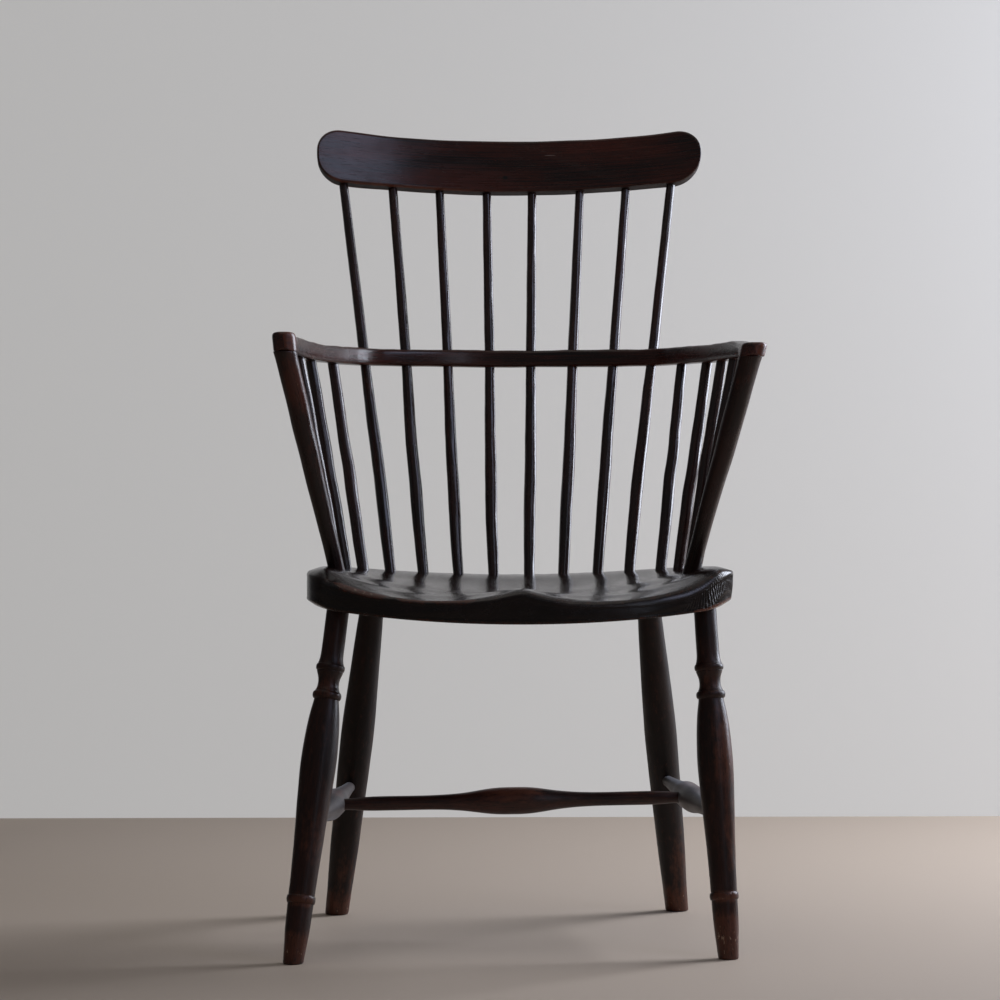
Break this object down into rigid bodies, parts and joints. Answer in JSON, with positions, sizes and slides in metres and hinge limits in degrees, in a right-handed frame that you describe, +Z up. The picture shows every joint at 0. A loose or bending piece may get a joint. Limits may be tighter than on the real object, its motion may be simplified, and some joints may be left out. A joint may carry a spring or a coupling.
{
  "type": "windsor armchair",
  "caption": "Wooden armchair with a saddled plank seat, splayed turned legs joined by stretchers, a bent arm bow on posts and spindles, and long spindles up to a curved comb rail.",
  "frame": {"origin": "on the floor, under the middle of the chair's bounding box", "axes": "+X to the right seen from the front, +Y from the front to the back, +Z up"},
  "size_m": [0.596, 0.534, 1.038],
  "materials": {
    "seat_elm": "dark stained elm, waxed to a soft gloss",
    "turned_beech": "dark stained beech, waxed satin, browner where worn",
    "bent_ash": "dark stained ash, waxed satin"
  },
  "bodies": {
    "root": {"seat": "seat_elm", "front_leg_left": "turned_beech", "front_leg_right": "turned_beech", "back_leg_left": "turned_beech", "back_leg_right": "turned_beech", "side_stretcher_left": "turned_beech", "side_stretcher_right": "turned_beech", "cross_stretcher": "turned_beech", "arm_post_left": "turned_beech", "arm_post_right": "turned_beech", "arm_bow": "bent_ash", "comb_rail": "bent_ash", "long_spindle_1": "turned_beech", "long_spindle_2": "turned_beech", "long_spindle_3": "turned_beech", "long_spindle_4": "turned_beech", "long_spindle_5": "turned_beech", "long_spindle_6": "turned_beech", "long_spindle_7": "turned_beech", "long_spindle_8": "turned_beech", "short_spindle_left_1": "turned_beech", "short_spindle_left_2": "turned_beech", "short_spindle_left_3": "turned_beech", "short_spindle_left_4": "turned_beech", "short_spindle_right_1": "turned_beech", "short_spindle_right_2": "turned_beech", "short_spindle_right_3": "turned_beech", "short_spindle_right_4": "turned_beech"}
  },
  "joints": []
}
